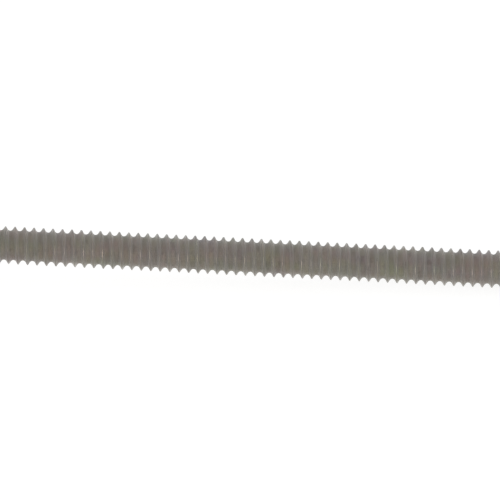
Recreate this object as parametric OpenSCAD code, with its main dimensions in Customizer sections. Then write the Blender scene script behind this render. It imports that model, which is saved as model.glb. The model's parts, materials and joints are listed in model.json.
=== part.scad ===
// Pan head machine screw with a cross recess, threaded along almost its whole shank.
// Lengths are in millimetres and angles in degrees. The screw is drawn upright on its own
// axis: the bearing face of the head is at height zero, the head above it, the tip below.
// It is then laid on z = 0 as a dropped screw comes to rest, on the rim of its head and
// on its last full thread, with the head at -X and the tip at +X.

/* [Thread] */
// Diameter over the thread crests
thread_d = 3.16; // [3:0.01:3.5]
// Distance between neighbouring crests
thread_pitch = 0.79375; // [0.7:0.00625:0.85]
// Depth of the groove from crest to root
thread_depth = 0.36; // [0.3:0.01:0.45]
// Width of the flat on each crest
crest_w = 0.07; // [0.04:0.01:0.13]
// Angle between the two flanks of the groove
flank_angle = 60; // [50:1:64]
// Flat facets in one turn of the thread, wide enough for the screw to lie still
facets = 13; // [12:1:20]

/* [Shank] */
// Length from the bearing face to the tip
shank_len = 50.8; // [20:0.2:60]
// Length of the plain neck under the head
neck_len = 1.2; // [0.8:0.1:2]
// Diameter of the plain neck
neck_d = 2.91; // [2.7:0.01:3.1]
// Radius of the fillet between the neck and the bearing face
neck_fillet = 0.3; // [0.25:0.05:0.5]
// Length over which the thread rises out of the neck
runout_len = 1; // [0.8:0.1:1.6]
// Diameter of the flat end of the tip
tip_d = 2.2; // [1.6:0.05:2.4]
// Length of the chamfer at the tip
tip_chamfer = 0.6; // [0.4:0.05:1]

/* [Head] */
// Diameter of the head
head_d = 6.68; // [6.4:0.02:7]
// Height from the bearing face to the top of the crown
head_h = 2.34; // [2.2:0.02:2.6]
// Radius of the crown
crown_r = 6.5; // [5:0.1:9]
// Radius of the shoulder between the crown and the side
shoulder_r = 1; // [0.6:0.05:1.2]
// Radius of the edge round the bearing face
rim_r = 0.1; // [0.05:0.01:0.2]

/* [Recess] */
// Diameter across the wings, at the height of the crown
recess_d = 4.05; // [3.8:0.05:4.3]
// Depth of the recess below the crown
recess_depth = 1.9; // [1.6:0.05:2.1]
// Height of the cone in the floor of the recess
floor_h = 0.35; // [0.2:0.05:0.5]
// Slant of the wing ends from the axis
wing_slant = 26.5; // [20:0.5:30]
// Width of a wing at the crown
wing_top_w = 0.95; // [0.85:0.05:1.1]
// Width of a wing at the floor
wing_floor_w = 0.71; // [0.6:0.01:0.8]
// Width of the square core at the crown
core_top_w = 1.75; // [1.6:0.05:2]
// Width of the square core at the floor
core_floor_w = 1.1; // [1:0.05:1.3]

/* [Hidden] */

// Facets round the head and the neck, and the height by which the recess is cut past the crown
$fn = 56;
cut_past = 0.5;
steel = [0.447, 0.424, 0.396];

// The thread's form: radii, the width of a flank and of the root
crest_r = thread_d / 2;
root_r = crest_r - thread_depth;
flank_w = thread_depth * tan(flank_angle / 2);
root_w = thread_pitch - crest_w - 2 * flank_w;
// Corners of the groove and ridge in one pitch: their places along the axis, and their radii
corner_at = [0, root_w, root_w + flank_w, root_w + flank_w + crest_w];
corner_r = [root_r, root_r, crest_r, crest_r];

// The thread starts at the tip and ends a little inside the neck, thinner than the neck
neck_r = neck_d / 2;
seat_in = 0.1;
seat_step = 0.04;
seat_r = neck_r - seat_step;
tip_r = tip_d / 2;
tip_z = -shank_len;
seat_z = seat_in - neck_len;
tip_slope = (crest_r - tip_r) / tip_chamfer;
// Corners closer than this to an end of the thread lie on that end
end_weld = 0.01;
// Facets from the tip to the neck, with one turn more for the slanting ends
last_facet = facets * ceil((seat_z - tip_z) / thread_pitch + 1);

// The head: the shoulder's arc touches the side and the crown
head_r = head_d / 2;
crown_z = head_h - crown_r;
shoulder_x = head_r - shoulder_r;
shoulder_z = crown_z + sqrt(pow(crown_r - shoulder_r, 2) - pow(shoulder_x, 2));
shoulder_end_x = shoulder_x * crown_r / (crown_r - shoulder_r);

// The recess: where its slanting wing ends meet the floor's cone
recess_r = recess_d / 2;
floor_r = recess_r - (recess_depth - floor_h) * tan(wing_slant);

// At rest the axis falls from the head's rim to the last full thread
rest_r = crest_r * cos(180 / facets);
rest_tilt = atan((head_r - rest_r) / (shank_len - tip_chamfer + rim_r));
rest_z = (head_r - rim_r) * cos(rest_tilt) + rim_r - rim_r * sin(rest_tilt);
rest_x = (head_h - shank_len) / 2 * cos(rest_tilt);

// Height of a corner of the thread, counted along the helix from the tip
function corner_z(i, k) = tip_z + thread_pitch * (i / facets - 1) + corner_at[k];

// Radius at a height: the thread fades out into the neck and is chamfered at the tip
function rise(z) = min(1, max(0, (seat_z - z) / runout_len));
function faded(z, r) = seat_r + (r - seat_r) * rise(z);
function chamfered(z, r) = min(r, tip_r + (z - tip_z) * tip_slope);

// The middle of a facet faces the ground
function at_angle(i, r, z) =
    let (a = 180 + 360 * (i + 0.5) / facets)
    [r * cos(a), r * sin(a), z];
function on_thread(i, k) =
    let (z = max(tip_z, min(seat_z, corner_z(i, k))))
    at_angle(i, chamfered(z, faded(z, corner_r[k])), z);

// Number of a corner's point: on the ring at the tip, on the ring in the neck, or between
function point_of(i, k) =
    k == len(corner_at) ? point_of(i + facets, 0) :
    corner_z(i, k) < tip_z + end_weld ? i % facets :
    corner_z(i, k) > seat_z - end_weld ? facets + i % facets :
    2 * facets + len(corner_at) * i + k;

function has_area(t) = t[0] != t[1] && t[1] != t[2] && t[2] != t[0];

// The helical ridge and groove as one closed surface whose rows follow the helix
module thread() {
    ring = [0 : facets - 1];
    rows = [0 : len(corner_at) - 1];
    points = concat(
        [for (i = ring) at_angle(i, tip_r, tip_z)],
        [for (i = ring) at_angle(i, seat_r, seat_z)],
        [for (i = [0 : last_facet + facets]) for (k = rows) on_thread(i, k)]
    );
    walls = [
        for (i = [0 : last_facet - 1]) for (k = rows)
        let (a = point_of(i, k), b = point_of(i, k + 1))
        let (c = point_of(i + 1, k + 1), d = point_of(i + 1, k))
        for (t = [[a, b, c], [a, c, d]]) if (has_area(t)) t
    ];
    tip_face = [for (i = ring) i];
    seat_face = [for (i = ring) 2 * facets - 1 - i];
    polyhedron(points, concat([tip_face, seat_face], walls));
}

// Half section of the head: crown, shoulder, side and rounded rim
module head_outline() {
    intersection() {
        translate([0, crown_z]) circle(crown_r);
        square([shoulder_end_x, head_h]);
    }
    intersection() {
        translate([shoulder_x, shoulder_z]) circle(shoulder_r);
        translate([0, shoulder_z]) square([head_r, shoulder_r]);
    }
    translate([0, rim_r]) square([head_r, shoulder_z - rim_r]);
    square([head_r - rim_r, shoulder_z]);
    translate([head_r - rim_r, rim_r]) circle(rim_r);
}

// Half section of the plain neck, with its fillet under the head
module neck_outline() {
    translate([0, -neck_len]) square([neck_r, neck_len + rim_r]);
    difference() {
        translate([0, -neck_fillet]) square([neck_r + neck_fillet, neck_fillet + rim_r]);
        translate([neck_r + neck_fillet, -neck_fillet]) circle(neck_fillet);
    }
}

// Straight bar along X that narrows downwards, with its top at the crown
module tapered_bar(top_w, floor_w) {
    rotate([90, 0, 90]) linear_extrude(recess_d + cut_past, center = true) polygon([
        [-floor_w / 2, -recess_depth], [floor_w / 2, -recess_depth],
        [top_w / 2, 0], [top_w / 2, cut_past], [-top_w / 2, cut_past], [-top_w / 2, 0]
    ]);
}

// Four tapered wings round a square core, inside a cone with a pointed floor
module cross_recess() {
    translate([0, 0, head_h]) intersection() {
        rotate_extrude() polygon([
            [0, -recess_depth], [floor_r, floor_h - recess_depth],
            [recess_r, 0], [recess_r, cut_past], [0, cut_past]
        ]);
        union() {
            for (turn = [0, 90]) rotate(turn) tapered_bar(wing_top_w, wing_floor_w);
            intersection_for (turn = [45, 135]) {
                rotate(turn) tapered_bar(core_top_w, core_floor_w);
            }
        }
    }
}

// Lays the upright screw on its side, head to the left, resting on z = 0
module lie_down() {
    translate([rest_x, 0, rest_z]) rotate([0, rest_tilt - 90, 0]) children();
}

module screw() {
    color(steel) lie_down() {
        thread();
        difference() {
            // Half a facet's turn puts a flat of the rim on the ground, not a corner
            rotate(180 / $fn) rotate_extrude() {
                head_outline();
                neck_outline();
            }
            cross_recess();
        }
    }
}

screw();
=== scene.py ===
"""Pan head screw of dull grey-brown steel on a white floor, its shank seen close up from above."""
import json
import math

import bpy
import numpy as np
from mathutils import Matrix, Vector


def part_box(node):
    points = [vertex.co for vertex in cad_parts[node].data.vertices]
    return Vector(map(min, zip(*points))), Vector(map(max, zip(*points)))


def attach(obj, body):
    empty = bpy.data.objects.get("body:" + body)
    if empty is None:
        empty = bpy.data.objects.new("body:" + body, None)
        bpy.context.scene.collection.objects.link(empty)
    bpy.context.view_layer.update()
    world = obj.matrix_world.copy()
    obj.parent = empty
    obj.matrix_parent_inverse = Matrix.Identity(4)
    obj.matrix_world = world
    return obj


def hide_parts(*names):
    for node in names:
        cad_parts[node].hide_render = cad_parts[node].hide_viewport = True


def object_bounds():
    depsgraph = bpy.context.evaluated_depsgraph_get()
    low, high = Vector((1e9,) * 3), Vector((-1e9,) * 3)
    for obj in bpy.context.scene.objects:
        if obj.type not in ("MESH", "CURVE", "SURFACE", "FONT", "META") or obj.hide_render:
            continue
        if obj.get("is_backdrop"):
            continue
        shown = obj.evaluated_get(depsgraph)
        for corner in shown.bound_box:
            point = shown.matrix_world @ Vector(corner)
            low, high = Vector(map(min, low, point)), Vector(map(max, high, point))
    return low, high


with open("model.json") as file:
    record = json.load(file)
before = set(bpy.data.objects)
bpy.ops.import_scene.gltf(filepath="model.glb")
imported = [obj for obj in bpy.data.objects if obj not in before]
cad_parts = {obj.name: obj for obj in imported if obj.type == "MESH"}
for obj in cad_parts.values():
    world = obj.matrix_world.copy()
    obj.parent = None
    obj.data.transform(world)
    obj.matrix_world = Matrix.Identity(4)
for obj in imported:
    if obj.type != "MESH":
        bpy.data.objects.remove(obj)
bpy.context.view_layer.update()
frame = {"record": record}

# One millimetre in metres
MM = 0.001

# The screw's place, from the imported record. Own frame: z to the head, zero at the bearing face
MOUNTS = {mount["name"]: mount for mount in frame["record"]["mounts"]}
BEARING = Vector(MOUNTS["bearing_face"]["pos_m"])
TO_TIP = Vector(MOUNTS["bearing_face"]["axis"]).normalized()
ACROSS = Vector((0, 1, 0))
UPWARD = ACROSS.cross(-TO_TIP)

# Sizes are in millimetres and angles in degrees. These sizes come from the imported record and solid
SHANK_LEN = (Vector(MOUNTS["thread"]["pos_m"]) - BEARING).length / MM
HEAD_H = (Vector(MOUNTS["drive_recess"]["pos_m"]) - BEARING).length / MM
CREST_R = MOUNTS["thread"]["dims"]["r_mm"]
BOX_LOW, BOX_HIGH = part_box("screw")
HEAD_R = (BOX_HIGH.y - BOX_LOW.y) / 2 / MM

# Sizes of the thread
PITCH = 0.79375
THREAD_DEPTH = 0.36
CREST_W = 0.07
FLANK_ANGLE = 60
CREST_ROUND = 0.04
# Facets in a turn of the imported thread, which starts half a turn and half a facet past the upward side
SOLID_FACETS = 13
START_TURN = 0.5 + 0.5 / SOLID_FACETS

# Sizes of the neck, of the thread's runout below it and of the tip
NECK_LEN = 1.2
NECK_R = 1.455
RUNOUT_LEN = 1.1
TIP_R = 1.1
TIP_CHAMFER = 0.6
TIP_ROUND = 0.08

# Sizes of the head
NECK_FILLET = 0.3
RIM_R = 0.1
SHOULDER_R = 1
CROWN_R = 6.5

# Sizes of the cross recess
RECESS_R = 2.025
RECESS_DEPTH = 1.9
FLOOR_H = 0.35
WING_SLANT = 26.5
WING_TOP_W = 0.95
WING_FLOOR_W = 0.71
CORE_TOP_W = 1.75
CORE_FLOOR_W = 1.1
MOUTH_BEVEL = 0.04

# Steps of the mesh on each octant of the cross (a wing's end, its side, the core), and round the axis
END_STEPS = 3
SIDE_STEPS = 4
CORE_STEPS = 2
OCTANT_STEPS = END_STEPS + SIDE_STEPS + CORE_STEPS
STEPS = 8 * OCTANT_STEPS
# Rings on the crown and on the recess's walls, and the sizes of those on its floor as shares of its edge
CROWN_RINGS = 6
WALL_RINGS = 5
FLOOR_SHARES = (0.6, 0.25)
# Rounds in which the recess's outline settles on the crown or on the floor
SETTLE_ROUNDS = 12
# Points past an end of the thread, or closer to it than this, are those of the ring there
WELD = 0.004
# Edges that bend by more than this stay sharp
SHARP_ANGLE = math.radians(38)

# The thread's form
ROOT_R = CREST_R - THREAD_DEPTH
FLANK_W = THREAD_DEPTH * math.tan(math.radians(FLANK_ANGLE / 2))
ROOT_W = PITCH - CREST_W - 2 * FLANK_W
CREST_AT = ROOT_W + FLANK_W + CREST_W / 2
TIP_Z = -SHANK_LEN
START_Z = TIP_Z + TIP_ROUND
SEAT_Z = -NECK_LEN
TIP_SLOPE = (CREST_R - TIP_R) / TIP_CHAMFER

# The crown's centre, the shoulder's centre and the angle where the shoulder meets the crown
CROWN_Z = HEAD_H - CROWN_R
SHOULDER_X = HEAD_R - SHOULDER_R
SHOULDER_Z = CROWN_Z + math.sqrt((CROWN_R - SHOULDER_R) ** 2 - SHOULDER_X ** 2)
SHOULDER_END = math.atan2(SHOULDER_Z - CROWN_Z, SHOULDER_X)
# Where the slanting wing ends meet the cone of the recess's floor
FLOOR_R = RECESS_R - (RECESS_DEPTH - FLOOR_H) * math.tan(math.radians(WING_SLANT))

# Levels of wear and of painted shade: the bottom of a groove, plain skin, and an edge or a crest
GROOVE, PLAIN, EDGE = 0.0, 0.5, 1.0


def arc(x, z, radius, first, last, count):
    """Points of an arc in a half section, from one angle to another."""
    return [
        (x + radius * math.cos(a), z + radius * math.sin(a))
        for a in np.radians(np.linspace(first, last, count))
    ]


def thread_section():
    """One pitch of the thread from the middle of a groove: (place along the axis, radius) of each row."""
    # By this angle the surface bends from a root or a crest into a flank
    bend = 90 - FLANK_ANGLE / 2
    half_bend = math.radians(bend / 2)
    root_round = ROOT_W / 2 / math.tan(half_bend)
    corner = CREST_ROUND * math.tan(half_bend)
    mid = ROOT_W / 2
    low = ROOT_W + FLANK_W + corner
    high = ROOT_W + FLANK_W + CREST_W - corner
    root = arc(mid, ROOT_R + root_round, root_round, -90, bend - 90, count=3)
    low_corner = arc(low, CREST_R - CREST_ROUND, CREST_ROUND, 90 + bend, 90, count=3)
    high_corner = arc(high, CREST_R - CREST_ROUND, CREST_ROUND, 90, 90 - bend, count=3)
    next_root = arc(mid + PITCH, ROOT_R + root_round, root_round, 270 - bend, 270 - bend / 2, count=2)
    up_flank = tuple(np.add(root[-1], low_corner[0]) / 2)
    down_flank = tuple(np.add(high_corner[-1], next_root[0]) / 2)
    return [*root, up_flank, *low_corner, *high_corner, down_flank, *next_root]


def rise(z):
    """Share of the thread's full form, from none at the neck."""
    share = np.clip((SEAT_Z - z) / RUNOUT_LEN, 0, 1)
    return share * share * (3 - 2 * share)


def faded(z, radius):
    """The thread's radius where it fades out into the neck and where the tip is chamfered."""
    grown = NECK_R + (radius - NECK_R) * rise(z)
    return np.minimum(grown, TIP_R + (z - TIP_Z) * TIP_SLOPE)


class Skin:
    """One closed surface in the screw's own frame, with levels of wear and painted shade, and of dullness,
    at its points.
    """

    def __init__(self):
        self.points = []
        self.wear_and_shade = []
        self.dull = []
        self.faces = []

    def add(self, points, wear_and_shade, dull=0.0):
        """Adds points and returns their numbers."""
        first = len(self.points)
        self.points.extend(points)
        self.wear_and_shade.extend([wear_and_shade] * len(points))
        self.dull.extend([dull] * len(points))
        return list(range(first, len(self.points)))

    def face(self, *corners):
        """Adds a face. Corners that coincide count once, and a face without area is left out."""
        kept = list(dict.fromkeys(corners))
        if len(kept) > 2:
            self.faces.append(kept)

    def next_ring(self, ring, points, wear_and_shade):
        """Adds a ring of points, joined by quads to the ring before it. Returns the new ring."""
        upper = self.add(points, wear_and_shade)
        for i in range(STEPS):
            j = (i + 1) % STEPS
            self.face(ring[i], ring[j], upper[j], upper[i])
        return upper

    def close(self, ring, centre, start):
        """A fan between a ring and one point, at the start or the end of the surface."""
        for i in range(STEPS):
            side = (ring[i], ring[(i + 1) % STEPS])
            if start:
                side = side[::-1]
            self.face(*side, centre)


def ring_points(radius, z):
    """Points of a circle round the screw's axis."""
    turns = 2 * math.pi * np.arange(STEPS) / STEPS
    return [(radius * math.cos(a), radius * math.sin(a), z) for a in turns]


def add_tip(skin):
    """The flat end of the tip and its rounded edge. Returns the ring where the thread starts."""
    chamfer_angle = math.degrees(math.atan2(TIP_CHAMFER, CREST_R - TIP_R))
    start_r = TIP_R + TIP_ROUND * TIP_SLOPE
    round_r = TIP_ROUND / (1 - math.cos(math.radians(chamfer_angle)))
    round_x = start_r - round_r * math.sin(math.radians(chamfer_angle))
    edge = arc(round_x, TIP_Z + round_r, round_r, -90, chamfer_angle - 90, count=4)
    centre = skin.add([(0, 0, TIP_Z)], PLAIN)[0]
    ring = skin.add(ring_points(edge[0][0] / 2, TIP_Z), PLAIN)
    skin.close(ring, centre, start=True)
    for radius, z in edge:
        ring = skin.next_ring(ring, ring_points(radius, z), EDGE)
    return ring


def thread_grid(skin, section, count, start_ring, seat_ring):
    """Numbers of the thread's points, by step along the helix and by row of the section."""
    # The level follows each row's height in the thread's form. It sets the crests' smoother roughness and
    # the painted shade across each pitch
    levels = (section[:, 1] - ROOT_R) / THREAD_DEPTH
    grid = {}
    for i in range(count):
        a = 2 * math.pi * i / STEPS
        heights = TIP_Z + PITCH * (i / STEPS - START_TURN - 1) + section[:, 0]
        radii = faded(heights, section[:, 1])
        for k, (z, r, level) in enumerate(zip(heights, radii, levels)):
            if z < START_Z + WELD:
                grid[i, k] = start_ring[i % STEPS]
            elif z > SEAT_Z - WELD:
                grid[i, k] = seat_ring[i % STEPS]
            else:
                point = (r * math.cos(a), r * math.sin(a), z)
                grid[i, k] = skin.add([point], level, rise(z))[0]
    return grid


def add_thread(skin, start_ring):
    """The helical ridge and groove, with rows along the helix. Returns the ring at the neck."""
    seat_ring = skin.add(ring_points(NECK_R, SEAT_Z), PLAIN)
    section = np.array(thread_section())
    rows = len(section)
    turns = math.ceil((SEAT_Z - TIP_Z) / PITCH + START_TURN + 1)
    last = turns * STEPS
    grid = thread_grid(skin, section, last + STEPS + 1, start_ring, seat_ring)
    for i in range(last):
        for k in range(rows):
            turns_on, row = divmod(k + 1, rows)
            above = i + turns_on * STEPS
            skin.face(grid[i, k], grid[i + 1, k], grid[above + 1, row], grid[above, row])
    return seat_ring


def head_section():
    """Half section from the neck to the crown: (radius, height, level of wear and painted shade) of each
    ring.
    """
    fillet = arc(NECK_R + NECK_FILLET, -NECK_FILLET, NECK_FILLET, 180, 90, count=7)
    rim = arc(HEAD_R - RIM_R, RIM_R, RIM_R, -90, 0, count=5)
    shoulder = arc(SHOULDER_X, SHOULDER_Z, SHOULDER_R, 0, math.degrees(SHOULDER_END), count=14)
    face_mid = (fillet[-1][0] + rim[0][0]) / 2
    side_mid = (RIM_R + SHOULDER_Z) / 2
    plain = [(NECK_R, (SEAT_Z - NECK_FILLET) / 2), *fillet, (face_mid, 0)]
    # On the head the level only sets painted shade: the rim is coloured a little darker, like a crest
    return (
        [(*p, PLAIN) for p in plain]
        + [(*p, EDGE) for p in rim]
        + [(HEAD_R, side_mid, PLAIN)]
        + [(*p, PLAIN) for p in shoulder]
    )


def octant_point(at, end, wing, core):
    """A step on one octant of the cross: on the wing's round end, on its side or on the core."""
    corner = math.asin(wing / end)
    inner = core * math.sqrt(2) - wing
    if at <= END_STEPS:
        a = corner * at / END_STEPS
        return end * math.cos(a), end * math.sin(a)
    if at <= END_STEPS + SIDE_STEPS:
        along = (at - END_STEPS) / SIDE_STEPS
        return end * math.cos(corner) * (1 - along) + inner * along, wing
    along = (at - END_STEPS - SIDE_STEPS) / CORE_STEPS
    x = inner + (core / math.sqrt(2) - inner) * along
    return x, core * math.sqrt(2) - x


def cross_outline(depth, grow=0.0):
    """The recess's outline, one point for each step round the axis, at a depth below the crown for each."""
    share = depth / RECESS_DEPTH
    end = RECESS_R - depth * math.tan(math.radians(WING_SLANT)) + grow
    wing = (WING_TOP_W + (WING_FLOOR_W - WING_TOP_W) * share) / 2 + grow
    core = (CORE_TOP_W + (CORE_FLOOR_W - CORE_TOP_W) * share) / 2 + grow
    points = np.zeros((STEPS, 2))
    for n in range(STEPS):
        quarters, at = divmod(n, 2 * OCTANT_STEPS)
        mirrored = at > OCTANT_STEPS
        at = 2 * OCTANT_STEPS - at if mirrored else at
        point = octant_point(at, end[n], wing[n], core[n])
        if mirrored:
            point = point[::-1]
        points[n] = Matrix.Rotation(quarters * math.pi / 2, 2) @ Vector(point)
    return points


def crown_sag(points):
    """Depth of the crown below its top at the given places."""
    return CROWN_R - np.sqrt(CROWN_R ** 2 - (points ** 2).sum(1))


def floor_depth(points):
    """Depth of the recess's cone-shaped floor at the given places."""
    reach = np.minimum(np.sqrt((points ** 2).sum(1)) / FLOOR_R, 1)
    return RECESS_DEPTH - FLOOR_H * reach


def settled(surface, grow=0.0):
    """The recess's outline where its walls meet a surface, and its depth there."""
    depth = np.zeros(STEPS)
    for _ in range(SETTLE_ROUNDS):
        points = cross_outline(depth, grow)
        depth = surface(points)
    return points, depth


def lowered(points, depth):
    """Flat points, each at its own depth below the crown's top."""
    return [(x, y, HEAD_H - d) for (x, y), d in zip(points, depth)]


def add_head(skin, ring):
    """Neck, bearing face, rim, side, shoulder and crown, up to the recess. Returns the last ring."""
    for radius, z, wear_and_shade in head_section():
        ring = skin.next_ring(ring, ring_points(radius, z), wear_and_shade)
    lip, _ = settled(crown_sag, MOUTH_BEVEL)
    crown_edge_r = CROWN_R * math.cos(SHOULDER_END)
    outer = np.array(ring_points(crown_edge_r, 0))[:, :2]
    for share in np.linspace(0, 1, CROWN_RINGS + 1)[1:]:
        points = outer + (lip - outer) * share
        # On the head the level only sets painted shade: the lip's edge is coloured a little darker, like a
        # crest
        wear_and_shade = EDGE if share == 1 else PLAIN
        ring = skin.next_ring(ring, lowered(points, crown_sag(points)), wear_and_shade)
    return ring


def add_recess(skin, ring):
    """Walls of the cross recess below its bevelled lip, and its pointed floor."""
    _, mouth_depth = settled(crown_sag)
    mouth_depth = mouth_depth + MOUTH_BEVEL
    _, deepest = settled(floor_depth)
    # Painted shade: the walls' level falls from plain skin to that of a groove's bottom towards the floor,
    # so their colour darkens a little deeper in the recess, and the floor keeps the darker level
    for share in np.linspace(0, 1, WALL_RINGS + 1):
        depth = mouth_depth + (deepest - mouth_depth) * share
        ring = skin.next_ring(ring, lowered(cross_outline(depth), depth), PLAIN * (1 - share))
    floor_edge = cross_outline(deepest)
    for share in FLOOR_SHARES:
        points = floor_edge * share
        ring = skin.next_ring(ring, lowered(points, floor_depth(points)), GROOVE)
    centre = skin.add([(0, 0, HEAD_H - RECESS_DEPTH)], GROOVE)[0]
    skin.close(ring, centre, start=False)


def make_screw():
    """The whole screw as one closed mesh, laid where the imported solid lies."""
    skin = Skin()
    start_ring = add_tip(skin)
    seat_ring = add_thread(skin, start_ring)
    lip_ring = add_head(skin, seat_ring)
    add_recess(skin, lip_ring)
    own = np.array(skin.points) * MM
    axes = np.array([UPWARD, ACROSS, -TO_TIP])
    placed = own @ axes + np.array(BEARING)
    mesh = bpy.data.meshes.new("screw_steel")
    mesh.from_pydata(placed.tolist(), [], skin.faces)
    # The level of wear sets the roughness on the thread, and the same level sets painted shade in the
    # colour
    mesh.attributes.new("wear_and_shade", "FLOAT", "POINT").data.foreach_set("value", skin.wear_and_shade)
    mesh.attributes.new("dull", "FLOAT", "POINT").data.foreach_set("value", skin.dull)
    mesh.shade_smooth()
    mesh.set_sharp_from_angle(angle=SHARP_ANGLE)
    piece = bpy.data.objects.new("screw_steel", mesh)
    bpy.context.scene.collection.objects.link(piece)
    return piece


def new_material(name):
    """A material without any nodes yet, and its node tree."""
    material = bpy.data.materials.new(name)
    material.use_nodes = True
    material.node_tree.nodes.clear()
    return material, material.node_tree


def add_node(tree, kind, links=None, values=None, **settings):
    """A shader node with its settings, fixed input values and input links."""
    node = tree.nodes.new(kind)
    for name, value in settings.items():
        setattr(node, name, value)
    for name, value in (values or {}).items():
        node.inputs[name].default_value = value
    for name, output in (links or {}).items():
        tree.links.new(output, node.inputs[name])
    return node


def noise_at(tree, place, scale, size, detail, roughness=0.5, shift=0.0):
    """Noise over a place that is stretched by scale. size counts features per millimetre."""
    stretched = add_node(
        tree, "ShaderNodeMapping", {"Vector": place},
        {"Scale": [s / MM for s in scale], "Location": (shift, shift, shift)},
    )
    noise = add_node(
        tree, "ShaderNodeTexNoise", {"Vector": stretched.outputs["Vector"]},
        {"Scale": size, "Detail": detail, "Roughness": roughness},
    )
    return noise.outputs["Fac"]


def spread(tree, value, low, high, to_low, to_high):
    """A value mapped from one range to another, and kept inside it."""
    node = add_node(
        tree, "ShaderNodeMapRange", {"Value": value},
        {"From Min": low, "From Max": high, "To Min": to_low, "To Max": to_high},
    )
    return node.outputs["Result"]


def combined(tree, operation, first, second):
    """One value from two, by an operation such as ADD or MULTIPLY."""
    node = add_node(tree, "ShaderNodeMath", {0: first, 1: second}, operation=operation)
    return node.outputs["Value"]


def colour_ramp(tree, value, places, colours):
    """A colour that follows a value through three colours at three places."""
    node = add_node(tree, "ShaderNodeValToRGB", {"Fac": value})
    stops = node.color_ramp.elements
    stops.new(places[1])
    for stop, at, colour in zip(stops, places, colours):
        stop.position = at
        stop.color = (*colour, 1)
    return node.outputs["Color"]


def mixed_colour(tree, first, second, factor, blend="MIX"):
    """Two colours blended by a fixed factor."""
    node = add_node(
        tree, "ShaderNodeMix", {"A": first, "B": second}, {"Factor": factor},
        data_type="RGBA", blend_type=blend,
    )
    return node.outputs["Result"]


# Tints of the steel: its plain colour, and what it drifts to in patches
STEEL = (0.180, 0.160, 0.138)
OLIVE = (0.158, 0.176, 0.128)
ROSE = (0.201, 0.142, 0.136)
COOL = (0.174, 0.149, 0.161)
WARM = (0.185, 0.171, 0.114)
# Painted shade across each pitch: how light the steel's colour is made at the bottom of a groove, on a
# flank and on a crest. The flank is lightest, and the groove and crest are darker, to even out the lamps'
# shading rather than to show wear
PAINTED_SHADE_LEVELS = (0.95, 1.0, 0.89)
# How light a stain is, and by how much a ridge is lighter or darker than the mean
STAIN_LIGHT = 0.8
UNEVEN_LIGHT = 0.12
# The thread's skin is duller than the head's, so it shows less of the bare metal
THREAD_METAL = 0.5
# Roughness of the head, the grooves and the crests, and by how much crests and specks differ from it
HEAD_ROUGH = 0.35
GROOVE_ROUGH = 0.8
CREST_ROUGH = 0.43
UNEVEN_ROUGH = 0.3
SPECK_ROUGH = 0.06
# A faint sheen that lightens the skin where it turns away
SHEEN = 0.55
SHEEN_ROUGH = 0.5
# Fine relief: its strength, and its depth in millimetres
RELIEF = 0.1
RELIEF_DEPTH = 0.02
# Noise lies mostly between the first and the last of these
NOISE_LOW, NOISE_MID, NOISE_HIGH = 0.3, 0.5, 0.7
# Noise above this makes a stain
STAIN_FROM = 0.58


def steel_colour(tree, place, wear_and_shade, ridge):
    """Patches of olive, rose, cool and warm grey, with each ridge a little lighter or darker, and painted
    shade that is darker at the bottom of a groove and on a crest than on a flank.
    """
    steps = (NOISE_LOW, NOISE_MID, NOISE_HIGH)
    rosy = noise_at(tree, place, scale=(1, 1.3, 1.3), size=0.4, detail=3, roughness=0.6)
    warm = noise_at(tree, place, scale=(1, 1.6, 1.6), size=0.4, detail=3, roughness=0.6, shift=7.3)
    tints = mixed_colour(
        tree,
        colour_ramp(tree, rosy, steps, (OLIVE, STEEL, ROSE)),
        colour_ramp(tree, warm, steps, (COOL, STEEL, WARM)),
        factor=0.5,
    )
    ridge_light = spread(tree, ridge, NOISE_LOW, NOISE_HIGH, 1 - UNEVEN_LIGHT, 1 + UNEVEN_LIGHT)
    # Painted shade: the colour is a little darker at the bottom of a groove and on a crest or edge than on
    # a flank or plain skin
    painted_shade = colour_ramp(tree, wear_and_shade, (GROOVE, PLAIN, EDGE), [(v, v, v) for v in PAINTED_SHADE_LEVELS])
    stains = noise_at(tree, place, scale=(1.5, 1, 1), size=1.1, detail=2, shift=3.1)
    stain_light = spread(tree, stains, STAIN_FROM, NOISE_HIGH, 1, STAIN_LIGHT)
    light = combined(tree, "MULTIPLY", ridge_light, stain_light)
    light = combined(tree, "MULTIPLY", light, painted_shade)
    return mixed_colour(tree, tints, light, factor=1, blend="MULTIPLY")


def steel_roughness(tree, specks, wear_and_shade, dull, ridge):
    """Rough grooves and smoother crests, some of them smoother than others. The head is even."""
    worn = spread(tree, wear_and_shade, GROOVE, EDGE, GROOVE_ROUGH, CREST_ROUGH)
    ridge_rough = spread(tree, ridge, NOISE_LOW, NOISE_HIGH, UNEVEN_ROUGH, -UNEVEN_ROUGH)
    uneven = combined(tree, "MULTIPLY", wear_and_shade, ridge_rough)
    threaded = combined(tree, "ADD", worn, uneven)
    skin_rough = add_node(tree, "ShaderNodeMix", {"Factor": dull, "B": threaded}, {"A": HEAD_ROUGH})
    speck_rough = spread(tree, specks, NOISE_LOW, NOISE_HIGH, -SPECK_ROUGH, SPECK_ROUGH)
    return combined(tree, "ADD", skin_rough.outputs["Result"], speck_rough)


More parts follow.
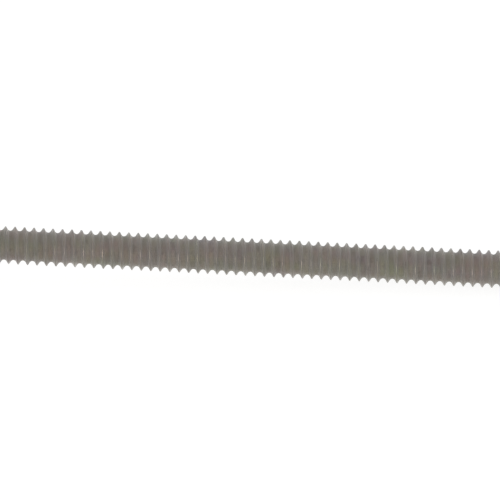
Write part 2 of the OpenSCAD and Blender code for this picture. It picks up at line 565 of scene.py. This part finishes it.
def steel_material():
    """Dull steel with mottled tints, a few stains, painted shade across each pitch, smoother crests and
    fine rings.
    """
    material, tree = new_material("dull_steel")
    place = add_node(tree, "ShaderNodeTexCoord").outputs["Object"]
    wear_and_shade = add_node(tree, "ShaderNodeAttribute", attribute_name="wear_and_shade").outputs["Fac"]
    dull = add_node(tree, "ShaderNodeAttribute", attribute_name="dull").outputs["Fac"]
    ridge = noise_at(tree, place, scale=(1.3, 0.5, 0.5), size=1, detail=2)
    rings = noise_at(tree, place, scale=(1, 0.04, 0.04), size=16, detail=3)
    specks = noise_at(tree, place, scale=(1, 1, 1), size=9, detail=4, roughness=0.65)
    bump = add_node(
        tree, "ShaderNodeBump", {"Height": combined(tree, "MULTIPLY", rings, specks)},
        {"Strength": RELIEF, "Distance": RELIEF_DEPTH * MM},
    )
    metal = add_node(
        tree, "ShaderNodeBsdfPrincipled",
        {
            "Base Color": steel_colour(tree, place, wear_and_shade, ridge),
            "Roughness": steel_roughness(tree, specks, wear_and_shade, dull, ridge),
            "Normal": bump.outputs["Normal"],
            "Metallic": spread(tree, dull, 0, 1, 1, THREAD_METAL),
        },
        {"Sheen Weight": SHEEN, "Sheen Roughness": SHEEN_ROUGH},
    )
    add_node(tree, "ShaderNodeOutputMaterial", {"Surface": metal.outputs["BSDF"]})
    return material


def seen_directly(tree):
    """One for rays that show the white ground: from the camera, off metal or through glass."""
    path = add_node(tree, "ShaderNodeLightPath").outputs
    pair = combined(tree, "MAXIMUM", path["Is Camera Ray"], path["Is Glossy Ray"])
    return combined(tree, "MAXIMUM", pair, path["Is Transmission Ray"])


def floor_material():
    """White floor. Where it is seen it is mostly its own white, and darkens a little in a shadow."""
    own_white = 0.85
    lit_grey = (0.24, 0.24, 0.24, 1)
    pale_white = (0.9, 0.9, 0.89, 1)
    material, tree = new_material("white_floor")
    pale = add_node(tree, "ShaderNodeBsdfDiffuse", values={"Color": pale_white})
    lit = add_node(tree, "ShaderNodeBsdfDiffuse", values={"Color": lit_grey})
    glow = add_node(tree, "ShaderNodeEmission", values={"Color": (1, 1, 1, 1), "Strength": own_white})
    white = add_node(tree, "ShaderNodeAddShader", {0: glow.outputs["Emission"], 1: lit.outputs["BSDF"]})
    mixed = add_node(
        tree, "ShaderNodeMixShader",
        {"Fac": seen_directly(tree), 1: pale.outputs["BSDF"], 2: white.outputs["Shader"]},
    )
    add_node(tree, "ShaderNodeOutputMaterial", {"Surface": mixed.outputs["Shader"]})
    return material


def make_floor(height):
    """A wide square floor under the screw."""
    half = 1.5
    corners = [(-half, -half, height), (half, -half, height), (half, half, height), (-half, half, height)]
    mesh = bpy.data.meshes.new("floor")
    mesh.from_pydata(corners, [], [(0, 1, 2, 3)])
    mesh.materials.append(floor_material())
    floor = bpy.data.objects.new("floor", mesh)
    bpy.context.scene.collection.objects.link(floor)
    floor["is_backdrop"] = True


def make_world():
    """White surroundings where they are seen, and a plain level of light from them."""
    ambient = 0.69
    world = bpy.data.worlds.new("white_room")
    world.use_nodes = True
    tree = world.node_tree
    tree.nodes.clear()
    strength = spread(tree, seen_directly(tree), 0, 1, ambient, 1)
    ground = add_node(tree, "ShaderNodeBackground", {"Strength": strength}, {"Color": (1, 1, 1, 1)})
    add_node(tree, "ShaderNodeOutputWorld", {"Surface": ground.outputs["Background"]})
    bpy.context.scene.world = world


def make_lamp(name, place, size, power, colour):
    """A square soft lamp that points at the middle of the screw. Its place and size are in metres."""
    lamp = bpy.data.lights.new(name, "AREA")
    lamp.size = size
    lamp.energy = power
    lamp.color = colour
    holder = bpy.data.objects.new(name, lamp)
    holder.location = place
    holder.rotation_euler = (-Vector(place)).to_track_quat("-Z", "Y").to_euler()
    holder.visible_camera = False
    bpy.context.scene.collection.objects.link(holder)


# The photo's frame in pixels: its width, one pitch, and how far the axis lies below its middle
PHOTO_PIXELS = 500
PITCH_PIXELS = 9.487
AXIS_BELOW_PIXELS = 7.15
# How far right of the photo's middle the nearest crest of the upper edge is
CREST_RIGHT_PIXELS = 1.15
# The size of a pixel on the screw
PIXEL = PITCH / PITCH_PIXELS
# The axis's slope in the photo, and how steeply the camera looks down
AXIS_SLOPE = math.radians(2.83)
VIEW_ELEVATION = math.radians(45)
# About how far from the head the middle of the view is, along the shank
MIDDLE_FROM_HEAD = 26.1
# A long lens, so that the crests stand upright across the whole view, and the width of its sensor
LENS = 1000
SENSOR = 36
# How many times nearer and farther than the screw the camera still sees
CLIP_SPAN = 100


def middle_of_view():
    """Distance from the bearing face to the view's middle, with the crests as in the photo."""
    upper_edge_turn = VIEW_ELEVATION / (2 * math.pi)
    crest = SHANK_LEN - PITCH * (upper_edge_turn - START_TURN) - CREST_AT
    crest_count = round((crest - MIDDLE_FROM_HEAD) / PITCH)
    return crest - crest_count * PITCH - CREST_RIGHT_PIXELS * PIXEL


def view_axes():
    """The camera's right, up and ahead, rolled so that the screw's axis has the photo's slope."""
    ahead = Vector((0, math.cos(VIEW_ELEVATION), -math.sin(VIEW_ELEVATION)))
    right = Vector((1, 0, 0))
    up = right.cross(ahead)
    own_slope = math.atan2(-TO_TIP.dot(up), TO_TIP.dot(right))
    roll = AXIS_SLOPE - own_slope
    rolled_right = right * math.cos(roll) + up * math.sin(roll)
    rolled_up = up * math.cos(roll) - right * math.sin(roll)
    return rolled_right, rolled_up, ahead


def make_camera():
    """A long lens that looks down on the shank, across it, rolled to the photo's slope."""
    right, up, ahead = view_axes()
    pixel = PIXEL * MM
    target = BEARING + TO_TIP * middle_of_view() * MM + up * AXIS_BELOW_PIXELS * pixel
    distance = PHOTO_PIXELS * pixel * LENS / SENSOR
    data = bpy.data.cameras.new("camera")
    data.lens = LENS
    data.sensor_width = SENSOR
    data.clip_start = distance / CLIP_SPAN
    data.clip_end = distance * CLIP_SPAN
    camera = bpy.data.objects.new("camera", data)
    turn = Matrix((right, up, -ahead)).transposed().to_4x4()
    camera.matrix_world = Matrix.Translation(target - ahead * distance) @ turn
    bpy.context.scene.collection.objects.link(camera)
    bpy.context.scene.camera = camera


screw = make_screw()
screw.data.materials.append(steel_material())
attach(screw, "root")
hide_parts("screw")

make_floor(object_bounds()[0].z)
make_world()
make_lamp("front_lamp", place=(0.05, -0.4, 0.06), size=0.5, power=1.95, colour=(1.0, 0.95, 0.86))
make_lamp("back_lamp", place=(-0.25, 0.3, 0.36), size=0.3, power=0.6, colour=(0.95, 0.97, 1.0))
make_camera()
bpy.context.scene.view_settings.view_transform = "Standard"
